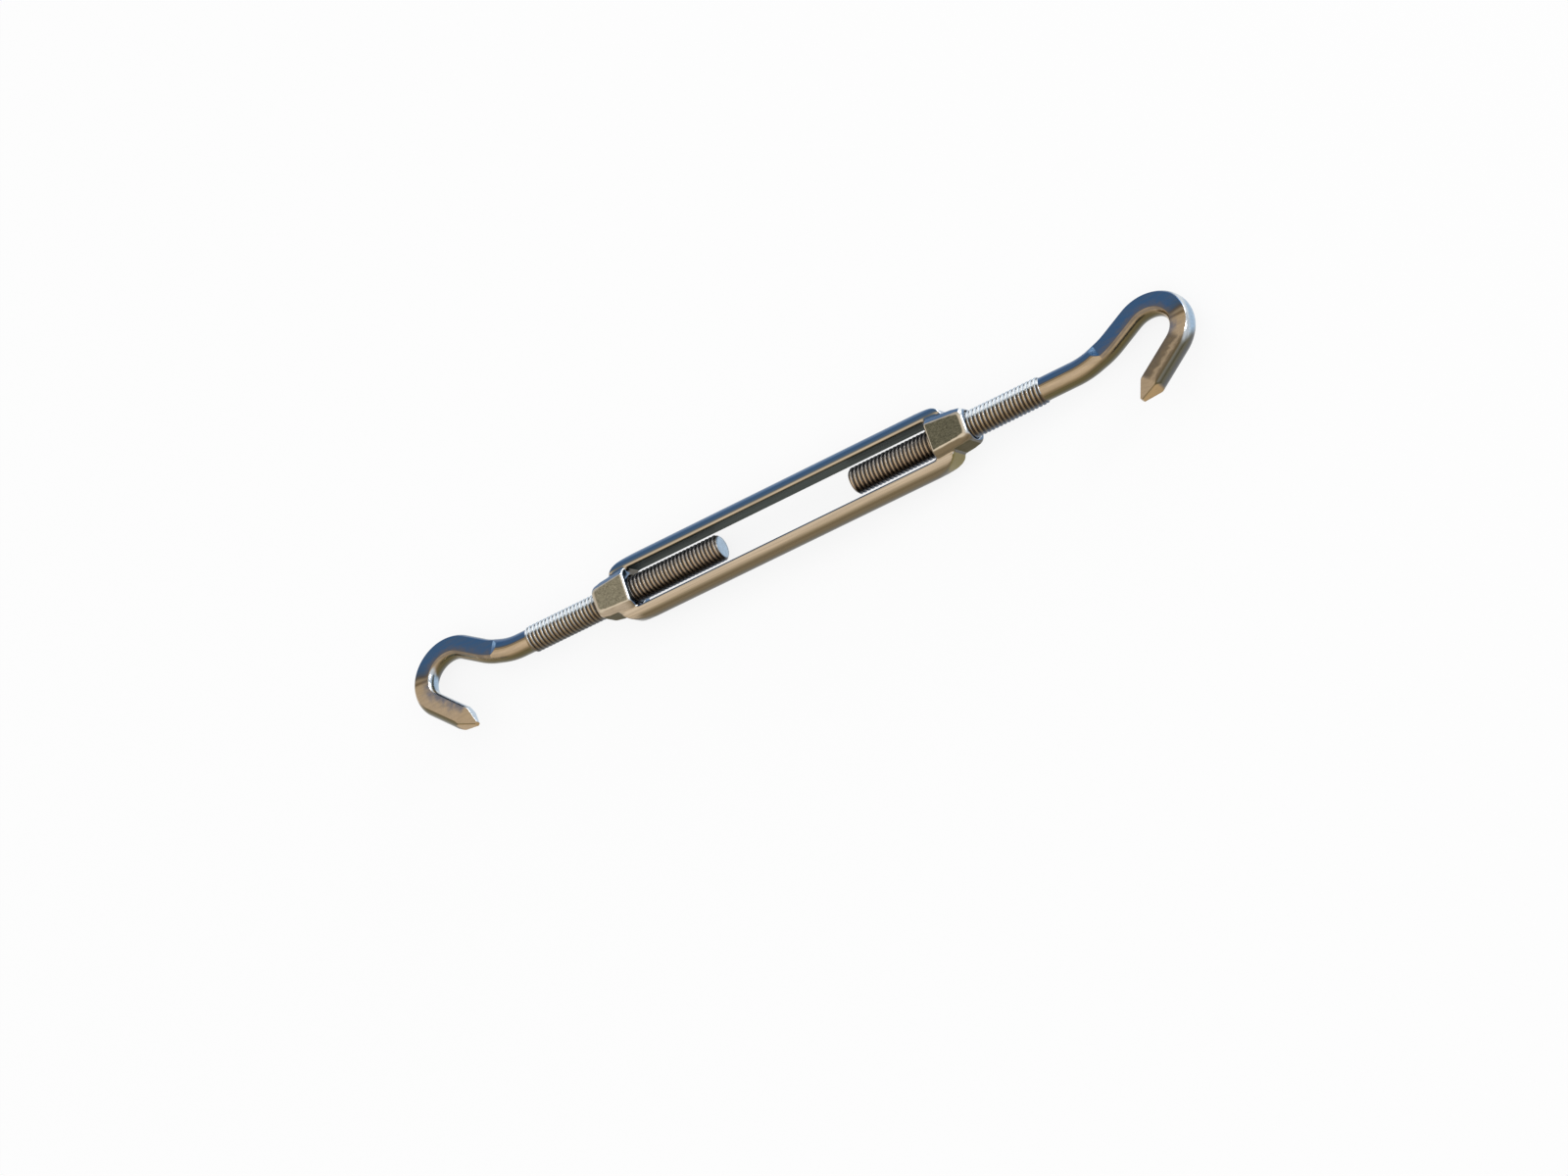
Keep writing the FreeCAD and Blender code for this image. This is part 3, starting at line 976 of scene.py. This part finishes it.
@dataclass
class HookShape:
    """The sizes of the hook beyond the thread, in millimetres.

    Attributes:
        shank_radius: Radius of the round shank.
        bend_radius: Radius of the two bends before the bowl, at the bar's middle.
        first_bend: How far the round bar bends out, in degrees.
        second_bend: How far the pressed bar bends on, in degrees.
        ramp: Length over which the bar becomes flat.
        pressed_radius: Radius of the pressed bar's round sides.
        pressed_half_thickness: Half the distance between its press flats.
        arm: Length of the straight arm before the bowl.
        bowl_radius: Radius of the bowl, at the bar's middle.
        bowl_degrees: How far the bowl turns back, in degrees.
        leg: Length of the straight leg after the bowl, with its tip.
        tip: Length of the tapered tip.
        tip_half_width: Half the width of the tip's end.
        tip_half_thickness: Half the thickness of the tip's end.
        tip_mark: How much narrower the bar is, as a share, where the tip's mark starts and
            where it is whole.
        edge_radius: Radius of the edges between the flats and the round sides.
        first_row: Length of the shank's first row, short so that the thread's tone stops at
            the thread's end.
    """

    shank_radius: float = 3.4
    bend_radius: float = 19.2
    first_bend: float = 20.0
    second_bend: float = 14.0
    ramp: float = 2.2
    pressed_radius: float = 3.44
    pressed_half_thickness: float = 2.6
    arm: float = 7.6
    bowl_radius: float = 9.2
    bowl_degrees: float = 170.5
    leg: float = 17.6
    tip: float = 6.0
    tip_half_width: float = 0.5
    tip_half_thickness: float = 0.8
    tip_mark: Span = (1 / 24, 1 / 8)
    edge_radius: float = 0.35
    first_row: float = 0.08

    def stations(self, start: float, shank: float) -> Stations:
        """Work out the stations from the thread's end to the hook's tip.

        Args:
            start: Where the thread ends, along u.
            shank: Length of the straight round shank.

        Returns:
            The stations in order, run by run.
        """
        round_bar = (self.shank_radius,) * 3
        mouth = (self.shank_radius, self.shank_radius, self.pressed_radius)
        pressed = (self.pressed_radius, self.pressed_radius, self.pressed_half_thickness)
        tip = (self.pressed_radius, self.tip_half_width, self.tip_half_thickness)
        runs = (
            Run(1, round_bar, round_bar, length=self.first_row),
            Run(6, round_bar, round_bar, length=shank - self.first_row),
            Run(12, round_bar, round_bar, radius=self.bend_radius, degrees=self.first_bend),
            Run(8, mouth, pressed, length=self.ramp),
            Run(9, pressed, pressed, radius=self.bend_radius, degrees=self.second_bend),
            Run(8, pressed, pressed, length=self.arm),
            Run(60, pressed, pressed, radius=-self.bowl_radius, degrees=-self.bowl_degrees),
            Run(10, pressed, pressed, length=self.leg - self.tip),
            Run(12, pressed, tip, length=self.tip),
        )
        rows, here = [], (start, 0.0, 0.0)
        for run in runs:
            rows.append(run.follow(*here))
            here = rows[-1][-1, :3]
        return Stations(*np.vstack(rows).T)

    def sections(self, at: Stations) -> np.ndarray:
        """Work out the bar's section at each station.

        A quarter of the section runs from the side flat to the press flat: half the side
        flat, a rounded corner, an arc of the round bar, a rounded corner and half the
        press flat. The corners are circles of the edge radius about points of a smaller
        section, and where the bar is still round the flats and corners have no length.

        Args:
            at: The stations.

        Returns:
            Distances across the bar and out of its plane, for stations by points.
        """
        edge = self.edge_radius
        radius = (at.radius - edge)[:, None]
        width = np.minimum(at.width[:, None] - edge, radius)
        thickness = np.minimum(at.thickness[:, None] - edge, radius)
        side_turn = np.arccos(width / radius)
        face_turn = np.arcsin(thickness / radius)
        middle = (side_turn + face_turn) / 2
        first = np.minimum(side_turn, middle)
        last = np.maximum(face_turn, middle)
        whole = np.linspace(0, 1, COLUMNS // 4 + 1)[None, :]
        short = np.linspace(0, 1, CORNER_POINTS)[None, :]

        def rounded(inner_turn: np.ndarray,
                    outer_turn: np.ndarray) -> tuple[np.ndarray, np.ndarray]:
            """Work out points at the edge radius from the smaller section.

            Args:
                inner_turn: The angle of the smaller section's points.
                outer_turn: The angle in which the surface faces there.

            Returns:
                Distances across the bar, and out of its plane.
            """
            across = np.minimum(radius * np.cos(inner_turn), width)
            out = np.minimum(radius * np.sin(inner_turn), thickness)
            return across + edge * np.cos(outer_turn), out + edge * np.sin(outer_turn)

        turn = first + (last - first) * whole
        corner_1 = rounded(first, first * short)
        arc = rounded(turn, turn)
        corner_2 = rounded(last, last + (math.pi / 2 - last) * short)
        side = (corner_1[0][:, :1] + 0 * short, corner_1[1][:, :1] * short)
        face = (corner_2[0][:, -1:] * (1 - short), corner_2[1][:, -1:] + 0 * short)
        across, out = (np.hstack([piece[axis] for piece in (side, corner_1, arc, corner_2, face)])
                       for axis in (0, 1))
        across = np.hstack([across, -across[:, ::-1], -across, across[:, ::-1]])
        out = np.hstack([out, out[:, ::-1], -out, -out[:, ::-1]])
        return np.stack([across, out], axis=-1)


@dataclass
class Grid:
    """A surface of rows by columns whose last column joins the first.

    Attributes:
        points: Rows by columns by 3, in millimetres.
        seam: How many rows further on the first column meets the last.
        marks: Numbers for every point that a finish reads, by name.
    """

    points: np.ndarray
    seam: int = 0
    marks: Mapping[str, np.ndarray | float] = field(default_factory=dict)

    def mark(self, name: str) -> np.ndarray:
        """One of the marks at every point, or 0 where it isn't given."""
        return np.broadcast_to(self.marks.get(name, 0.0), self.points.shape[:2]).ravel()

    def faces(self, first: int) -> np.ndarray:
        """Work out the quads.

        A point at row r and column c has the number r times the columns plus c. The
        column past the last is column 0 of the row that lies the seam's rows further on.

        Args:
            first: The number of the grid's first point.

        Returns:
            The four corners of each quad.
        """
        rows, columns = self.points.shape[:2]
        row, column = np.meshgrid(np.arange(rows - 1), np.arange(columns), indexing="ij")
        past = column == columns - 1
        next_row = row + self.seam * past
        next_column = np.where(past, 0, column + 1)
        quads = np.stack([row * columns + column, next_row * columns + next_column,
                          (next_row + 1) * columns + next_column,
                          (row + 1) * columns + column], axis=-1)
        inside = next_row + 1 < rows
        return quads[inside] + first


@dataclass
class HookScrew:
    """A hook screw: a threaded rod and its hook, bent from one bar.

    Attributes:
        node: The frame's node that it stands for.
        body: The body that it rides on.
        hand: The hand of its thread.
        outward: The side of the frame on which it stands, 1 for +X and -1 for -X.
        thread_length: Length of the thread, in millimetres.
        shank_length: Length of the straight round shank, in millimetres.
        roll_degrees: How far the hook is turned about the axis.
        hook: The hook's sizes.
        thread: The thread's sizes.
        tip_chamfer: Chamfer of the threaded tip, in millimetres.
        runout_chamfer: Length of the cone at the thread's end, in millimetres.
        fade: Over how long a way the groove comes in at the tip, and its mark goes out at
            the thread's end, in millimetres.
        tip_rows: Rows of vertices in the flat end of the threaded tip.
    """

    node: str
    body: str
    hand: Hand
    outward: int
    thread_length: float
    shank_length: float
    roll_degrees: float
    hook: HookShape
    thread: ThreadForm
    tip_chamfer: float = 0.7
    runout_chamfer: float = 0.6
    fade: float = 0.3
    tip_rows: int = 4

    @property
    def tip(self) -> float:
        """Where the threaded tip is along the axis, from the frame's node."""
        low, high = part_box(self.node)
        return (low.x if self.outward > 0 else -high.x) / MM

    def in_place(self, u: np.ndarray, v: np.ndarray, w: np.ndarray) -> np.ndarray:
        """Turn the screw's own directions into the frame's.

        u runs outwards, v is the hook's side turned about the axis by the roll, and w is
        square to both, so that the three keep their hand on either side of the frame.

        Args:
            u: Along the axis.
            v: Across, in the hook's plane.
            w: Out of the hook's plane.

        Returns:
            Points in the frame, in millimetres.
        """
        roll = math.radians(self.roll_degrees)
        side = np.array([0.0, math.cos(roll), -math.sin(roll)])
        along = np.array([float(self.outward), 0.0, 0.0])
        out = np.cross(along, side)
        return u[..., None] * along + v[..., None] * side + w[..., None] * out

    def thread_grid(self) -> Grid:
        """Work out the thread.

        Each row follows the helix: it moves along by one pitch times its share of the
        turn, so that crests and roots run along rows, and the seam joins a row to the one
        a pitch further on. The rows start a pitch before the tip and end past the thread's
        end, and what lies past either is drawn back to it. The radius is the crest's less
        the groove's depth, no more than the cones at both ends, and the groove runs out to
        the shank's radius over its last pitch.

        Returns:
            The threaded surface.
        """
        form, tip = self.thread, self.tip
        end = tip + self.thread_length
        pitches = self.thread_length / form.pitch + 2
        count = math.ceil(pitches * form.rows) + 1
        row = np.arange(count)[:, None]
        share = np.arange(COLUMNS)[None, :] / COLUMNS
        x = np.clip(tip - form.pitch + form.pitch * (row / form.rows + share), tip, end)
        turn = self.hand.value * 2 * math.pi * share
        depth = form.depth_at(row / form.rows)
        shank = self.hook.shank_radius
        cone = np.minimum(form.radius - self.tip_chamfer + (x - tip),
                          shank + (end - x) * (form.radius - shank) / self.runout_chamfer)
        outer = np.minimum(form.radius, cone)
        root = form.radius - form.depth
        floor = root + (shank - root) * rise(x, end - form.pitch, end)
        start = rise(x, tip, tip + self.fade)
        groove = form.radius - form.depth * depth
        radius = outer - start * np.maximum(outer - np.maximum(groove, floor), 0)
        points = self.in_place(x, radius * np.cos(turn), radius * np.sin(turn))
        deep = rise(radius, form.radius, root) * start * rise(x, end, end - self.fade)
        return Grid(points, form.rows, {"groove": deep, "threaded": 1.0})

    def disc_grid(self) -> Grid:
        """Work out the flat end of the threaded tip: a ring drawn in to its middle.

        Returns:
            The flat end.
        """
        radius = np.linspace(0, self.thread.radius - self.tip_chamfer, self.tip_rows)[:, None]
        turn = self.hand.value * 2 * math.pi * np.arange(COLUMNS)[None, :] / COLUMNS
        points = self.in_place(self.tip + 0 * radius * turn,
                               radius * np.cos(turn), radius * np.sin(turn))
        return Grid(points)

    def hook_grid(self) -> Grid:
        """Work out the shank and hook: the bar's section carried along its path.

        A point of the section lies across the bar from the path by its first distance, at
        a right angle to the heading in the hook's plane, and out of that plane by its
        second. The last row is drawn in to the middle, which closes the tip.

        Returns:
            The surface of the shank and hook.
        """
        hook = self.hook
        at = hook.stations(self.tip + self.thread_length, self.shank_length)
        section = hook.sections(at)
        u = at.u[:, None] - section[..., 0] * np.sin(at.heading)[:, None]
        v = at.v[:, None] + section[..., 0] * np.cos(at.heading)[:, None]
        points = self.in_place(u, v, section[..., 1])
        middle = points[-1:].mean(axis=1, keepdims=True) + 0 * points[-1:]
        points = np.concatenate([points, middle])
        bowl_end = math.radians(hook.first_bend + hook.second_bend - hook.bowl_degrees)
        leg = np.minimum(at.heading, 0) / bowl_end
        tip = rise(1 - at.width / hook.pressed_radius, *hook.tip_mark)
        pressed = rise(at.thickness, hook.shank_radius, hook.pressed_half_thickness)
        across = section[..., 0] / hook.pressed_radius
        ended = {name: np.append(mark, 1.0)[:, None]
                 for name, mark in (("leg", leg), ("tip", tip), ("pressed", pressed))}
        return Grid(points, marks=ended | {"across": np.vstack([across, 0 * across[-1:]])})

    def build(self, finish: bpy.types.Material) -> bpy.types.Object:
        """Build the screw as one closed mesh and put it in its node's place.

        Args:
            finish: The material of the whole screw.

        Returns:
            The finished piece.
        """
        piece = closed_piece(self.node.replace("hook_screw", "hook"),
                             [self.disc_grid(), self.thread_grid(), self.hook_grid()])
        piece.data.materials.append(finish)
        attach(piece, self.body)
        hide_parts(self.node)
        return piece


def closed_piece(name: str, grids: Sequence[Grid]) -> bpy.types.Object:
    """Join grids that meet edge to edge into one closed, smooth mesh.

    Points closer than the weld distance become one, which closes the seams and poles,
    and the faces are then turned outwards.

    Args:
        name: The piece's name.
        grids: Its surfaces, in millimetres.

    Returns:
        The object, at the origin.
    """
    firsts = np.cumsum([0] + [grid.points[..., 0].size for grid in grids])
    points = np.vstack([grid.points.reshape(-1, 3) for grid in grids]) * MM
    faces = np.vstack([grid.faces(first) for grid, first in zip(grids, firsts)])
    mesh = bpy.data.meshes.new(name)
    mesh.from_pydata(points.tolist(), [], faces.tolist())
    for mark in MARKS:
        numbers = np.concatenate([grid.mark(mark) for grid in grids])
        mesh.attributes.new(mark, "FLOAT", "POINT").data.foreach_set("value", numbers)
    shell = bmesh.new()
    shell.from_mesh(mesh)
    bmesh.ops.remove_doubles(shell, verts=shell.verts, dist=WELD_DISTANCE)
    bmesh.ops.recalc_face_normals(shell, faces=shell.faces)
    open_edges = sum(not edge.is_manifold for edge in shell.edges)
    shell.to_mesh(mesh)
    shell.free()
    mesh.shade_smooth()
    mesh.set_sharp_from_angle(angle=SHARP_ANGLE)
    piece = bpy.data.objects.new(name, mesh)
    bpy.context.scene.collection.objects.link(piece)
    LOG.info("%s: %d open edges", name, open_edges)
    return piece


@dataclass
class Casting:
    """The frame of two bars and two bosses, cast in one piece, with soft edges.

    Attributes:
        node: The frame's node that it stands for.
        body: The body that it rides on.
        face_side: Side of its small even faces, in metres.
        edge_passes: Passes of smoothing over the whole casting, which round its edges.
        nose_passes: Further passes over the outer ends of the bosses.
        nose_from: Where the nose at a boss's outer end starts along the axis, in metres.
        end_passes: Further passes over the ends of the bars, which are rounder.
        end_from: Where a bar's end starts along the axis, in metres.
        end_side: How far from the axis the bars' ends start, in metres.
        blend: Over how long a way the further passes come in, in metres.
        pull: How much of the way to its neighbours' mean a point moves in a pass.
    """

    node: str = "frame_body"
    body: str = "frame"
    face_side: float = 0.3 * MM
    edge_passes: int = 4
    nose_passes: int = 26
    nose_from: float = 58.2 * MM
    end_passes: int = 30
    end_from: float = 47.0 * MM
    end_side: float = 8.5 * MM
    blend: float = 1.0 * MM
    pull: float = 0.5

    def even_mesh(self, source: bpy.types.Object) -> bpy.types.Mesh:
        """Cover the casting's shape with small even faces.

        Args:
            source: The frame's own object.

        Returns:
            A new closed mesh.
        """
        mesh = source.data.copy()
        shell = bmesh.new()
        shell.from_mesh(mesh)
        bmesh.ops.remove_doubles(shell, verts=shell.verts, dist=WELD_DISTANCE)
        shell.to_mesh(mesh)
        shell.free()
        draft = bpy.data.objects.new("casting_draft", mesh)
        bpy.context.scene.collection.objects.link(draft)
        remesh = draft.modifiers.new("even_faces", "REMESH")
        remesh.mode = "VOXEL"
        remesh.voxel_size = self.face_side
        shape = draft.evaluated_get(bpy.context.evaluated_depsgraph_get())
        even = bpy.data.meshes.new_from_object(shape)
        bpy.data.objects.remove(draft)
        return even

    def build(self, source: bpy.types.Object, finish: bpy.types.Material) -> bpy.types.Object:
        """Build the casting and put it in its node's place.

        Args:
            source: The frame's own object.
            finish: The cast material.

        Returns:
            The finished piece.
        """
        mesh = self.even_mesh(source)
        points = np.empty(3 * len(mesh.vertices))
        mesh.vertices.foreach_get("co", points)
        edges = np.empty(2 * len(mesh.edges), dtype=int)
        mesh.edges.foreach_get("vertices", edges)
        points, edges = points.reshape(-1, 3), edges.reshape(-1, 2)
        points = relaxed(points, edges, np.full(len(points), self.pull), self.edge_passes)
        along, side = np.abs(points[:, 0]), np.abs(points[:, 1])
        bar_end = (rise(along, self.end_from, self.end_from + self.blend)
                   * rise(side, self.end_side, self.end_side + self.blend))
        points = relaxed(points, edges, self.pull * bar_end, self.end_passes)
        nose = rise(along, self.nose_from, self.nose_from + self.blend)
        points = relaxed(points, edges, self.pull * nose, self.nose_passes)
        mesh.vertices.foreach_set("co", points.ravel())
        mesh.materials.clear()
        mesh.materials.append(finish)
        mesh.shade_smooth()
        piece = bpy.data.objects.new("cast_frame", mesh)
        bpy.context.scene.collection.objects.link(piece)
        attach(piece, self.body)
        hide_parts(self.node)
        return piece


def relaxed(points: np.ndarray, edges: np.ndarray, share: np.ndarray, passes: int) -> np.ndarray:
    """Smooth a mesh by moving each point towards the mean of its neighbours.

    Args:
        points: The points, one a row.
        edges: The numbers of the two points of each edge.
        share: How much of the way each point moves in a pass, from 0 to 1.
        passes: How many passes there are.

    Returns:
        The moved points.
    """
    here = np.concatenate([edges[:, 0], edges[:, 1]])
    there = np.concatenate([edges[:, 1], edges[:, 0]])
    count = np.bincount(here, minlength=len(points))[:, None]
    for _ in range(passes):
        total = np.stack([np.bincount(here, points[there, axis], len(points))
                          for axis in range(3)], axis=1)
        points = points + share[:, None] * (total / count - points)
    return points


@dataclass(frozen=True)
class Lamp:
    """An oblong soft lamp that points at the part.

    Attributes:
        name: Its name.
        towards: The direction from the part to the lamp.
        size: Its width and height, in metres.
        level: The light that it gives at the part, where 1 alone shows white as white.
        far: Its distance, in metres.
    """

    name: str
    towards: tuple[float, float, float]
    size: tuple[float, float]
    level: float
    far: float = 1.5

    def build(self) -> None:
        """Add the lamp.

        Straight before a flat lamp of power P, at the distance r, a white matt surface is
        as bright as P over pi squared times r squared, which gives the power.
        """
        data = bpy.data.lights.new(self.name, "AREA")
        data.shape = "RECTANGLE"
        data.size, data.size_y = self.size
        data.energy = self.level * (math.pi * self.far) ** 2
        lamp = bpy.data.objects.new(self.name, data)
        direction = Vector(self.towards).normalized()
        lamp.location = direction * self.far
        lamp.rotation_euler = direction.to_track_quat("Z", "Y").to_euler()
        bpy.context.scene.collection.objects.link(lamp)


@dataclass
class Studio:
    """A pale floor under the part, soft light, and the camera that looks down on it.

    Attributes:
        floor_z: Height of the floor, in metres.
        floor_half: Half the floor's side, in metres.
        floor_tone: The floor's colour.
        floor_roughness: Its roughness.
        floor_whiteness: The share of plain white in the floor as it is seen.
        lean: How far the axis leans towards the camera at +X, in degrees.
        roll: How far the frame is rolled about its axis, in degrees.
        tilt: The axis's slope in the picture, in degrees.
        distance: From the aim to the camera, in metres.
        aim: The point of the axis that the camera aims at, in metres.
        lens: The camera's focal length, in millimetres.
        sensor: The width of its sensor, in millimetres.
        shift: How far the view is shifted right and up, as shares of its width.
        sight: The nearest and the farthest that it sees, in metres.
        lamps: The lamps.
        world_tones: Pairs of a height and the light from there, where 0 is the horizon and
            all below it, and 1 is straight above.
        world_strength: How strong it is.
    """

    floor_z: float
    floor_half: float = 3.0
    floor_tone: Colour = linear(250, 250, 250)
    floor_roughness: float = 0.9
    floor_whiteness: float = 0.85
    lean: float = 23.0
    roll: float = 18.0
    tilt: float = 26.09
    distance: float = 1.316
    aim: float = 1.22 * MM
    lens: float = 110.4
    sensor: float = 36.0
    shift: tuple[float, float] = (-0.00275, -0.0469)
    sight: Span = (0.05, 20.0)
    lamps: tuple[Lamp, ...] = (
        Lamp("key", (-0.6, -0.9, 1.0), (2.4, 2.4), 0.12),
        Lamp("glint", (0.5, 0.85, 0.12), (0.9, 0.3), 0.25),
        Lamp("edge", (0.876, 0.284, 0.39), (0.3, 0.3), 0.1))
    world_tones: tuple[tuple[float, Colour], ...] = (
        (0.0, (0.72, 0.74, 0.77, 1.0)), (0.5, (0.86, 0.86, 0.86, 1.0)),
        (1.0, (0.98, 0.98, 0.98, 1.0)))
    world_strength: float = 0.9

    def camera(self) -> None:
        """Put the camera where its view has the photograph's lean, roll and slope."""
        lean, roll, tilt = (math.radians(angle) for angle in (self.lean, self.roll, self.tilt))
        along = Vector((math.cos(lean), math.sin(roll) * math.sin(lean),
                        -math.cos(roll) * math.sin(lean)))
        up = Vector((0.0, math.cos(roll), math.sin(roll)))
        back = along.cross(up)
        right = math.cos(tilt) * along - math.sin(tilt) * up
        above = math.sin(tilt) * along + math.cos(tilt) * up
        data = bpy.data.cameras.new("camera")
        data.lens = self.lens
        data.sensor_width = self.sensor
        data.shift_x, data.shift_y = self.shift
        data.clip_start, data.clip_end = self.sight
        camera = bpy.data.objects.new("camera", data)
        turn = Matrix((right, above, back)).transposed().to_4x4()
        place = Vector((self.aim, 0, 0)) + self.distance * back
        camera.matrix_world = Matrix.Translation(place) @ turn
        bpy.context.scene.collection.objects.link(camera)
        bpy.context.scene.camera = camera

    def floor(self) -> None:
        """Lay the floor: a plain square far wider than the part."""
        corners = [(x * self.floor_half, y * self.floor_half, self.floor_z)
                   for x, y in ((-1, -1), (1, -1), (1, 1), (-1, 1))]
        mesh = bpy.data.meshes.new("floor")
        mesh.from_pydata(corners, [], [(0, 1, 2, 3)])
        mesh.materials.append(self.floor_material())
        floor = bpy.data.objects.new("floor", mesh)
        bpy.context.scene.collection.objects.link(floor)
        floor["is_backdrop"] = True

    def floor_material(self) -> bpy.types.Material:
        """Build the floor's finish: matt and pale, and seen a little whiter than it lights.

        Returns:
            The material.
        """
        tree = ShaderTree("pale_floor")
        material = tree.finish(Base_Color=self.floor_tone, Roughness=self.floor_roughness)
        path = tree.node("ShaderNodeLightPath", {}, {})
        seen = path["Is Camera Ray"].math("MAXIMUM", path["Is Glossy Ray"])
        seen = seen.math("MAXIMUM", path["Is Transmission Ray"])
        white = tree.node("ShaderNodeEmission", {}, {"Color": WHITE})["Emission"]
        matt = Value(tree, tree.shader.outputs["BSDF"])
        both = tree.node("ShaderNodeMixShader", {}, {
            0: seen * self.floor_whiteness, 1: matt, 2: white})["Shader"]
        tree.plug(tree.nodes["Material Output"].inputs["Surface"], both)
        return material

    def world(self) -> None:
        """Light the part evenly from all round, a little less from low down."""
        world = bpy.data.worlds.new("world")
        world.use_nodes = True
        nodes, links = world.node_tree.nodes, world.node_tree.links
        place = nodes.new("ShaderNodeTexCoord")
        split = nodes.new("ShaderNodeSeparateXYZ")
        ramp = nodes.new("ShaderNodeValToRGB")
        ShaderTree.set_stops(ramp.color_ramp, self.world_tones)
        links.new(place.outputs["Generated"], split.inputs[0])
        links.new(split.outputs["Z"], ramp.inputs[0])
        links.new(ramp.outputs["Color"], nodes["Background"].inputs["Color"])
        nodes["Background"].inputs["Strength"].default_value = self.world_strength
        bpy.context.scene.world = world

    def build(self) -> None:
        """Set up the floor, the lamps, the world and the camera."""
        self.floor()
        for lamp in self.lamps:
            lamp.build()
        self.world()
        self.camera()
        bpy.context.scene.view_settings.view_transform = "Standard"


def main() -> None:
    """Build and dress the part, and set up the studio."""
    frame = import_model()
    cad_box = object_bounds()
    hook, thread, rod = HookShape(), ThreadForm(), RodFinish().material()
    screws = (
        HookScrew("hook_screw_right_hand", "screw_right_hand", Hand.RIGHT, outward=-1,
                  thread_length=65.2, shank_length=3.4, roll_degrees=19.5, hook=hook, thread=thread),
        HookScrew("hook_screw_left_hand", "screw_left_hand", Hand.LEFT, outward=1,
                  thread_length=60.8, shank_length=9.6, roll_degrees=21.5, hook=hook, thread=thread),
    )
    casting = Casting()
    pieces = [screw.build(rod) for screw in screws]
    pieces.append(casting.build(frame["nodes"][casting.node], CastFinish().material()))
    for piece in pieces:
        LOG.info("%s: %d faces", piece.name, len(piece.data.polygons))
    Studio(floor_z=cad_box[0][2]).build()


if __name__ == "__main__":
    logging.basicConfig(level=logging.INFO, format="%(message)s")
    main()
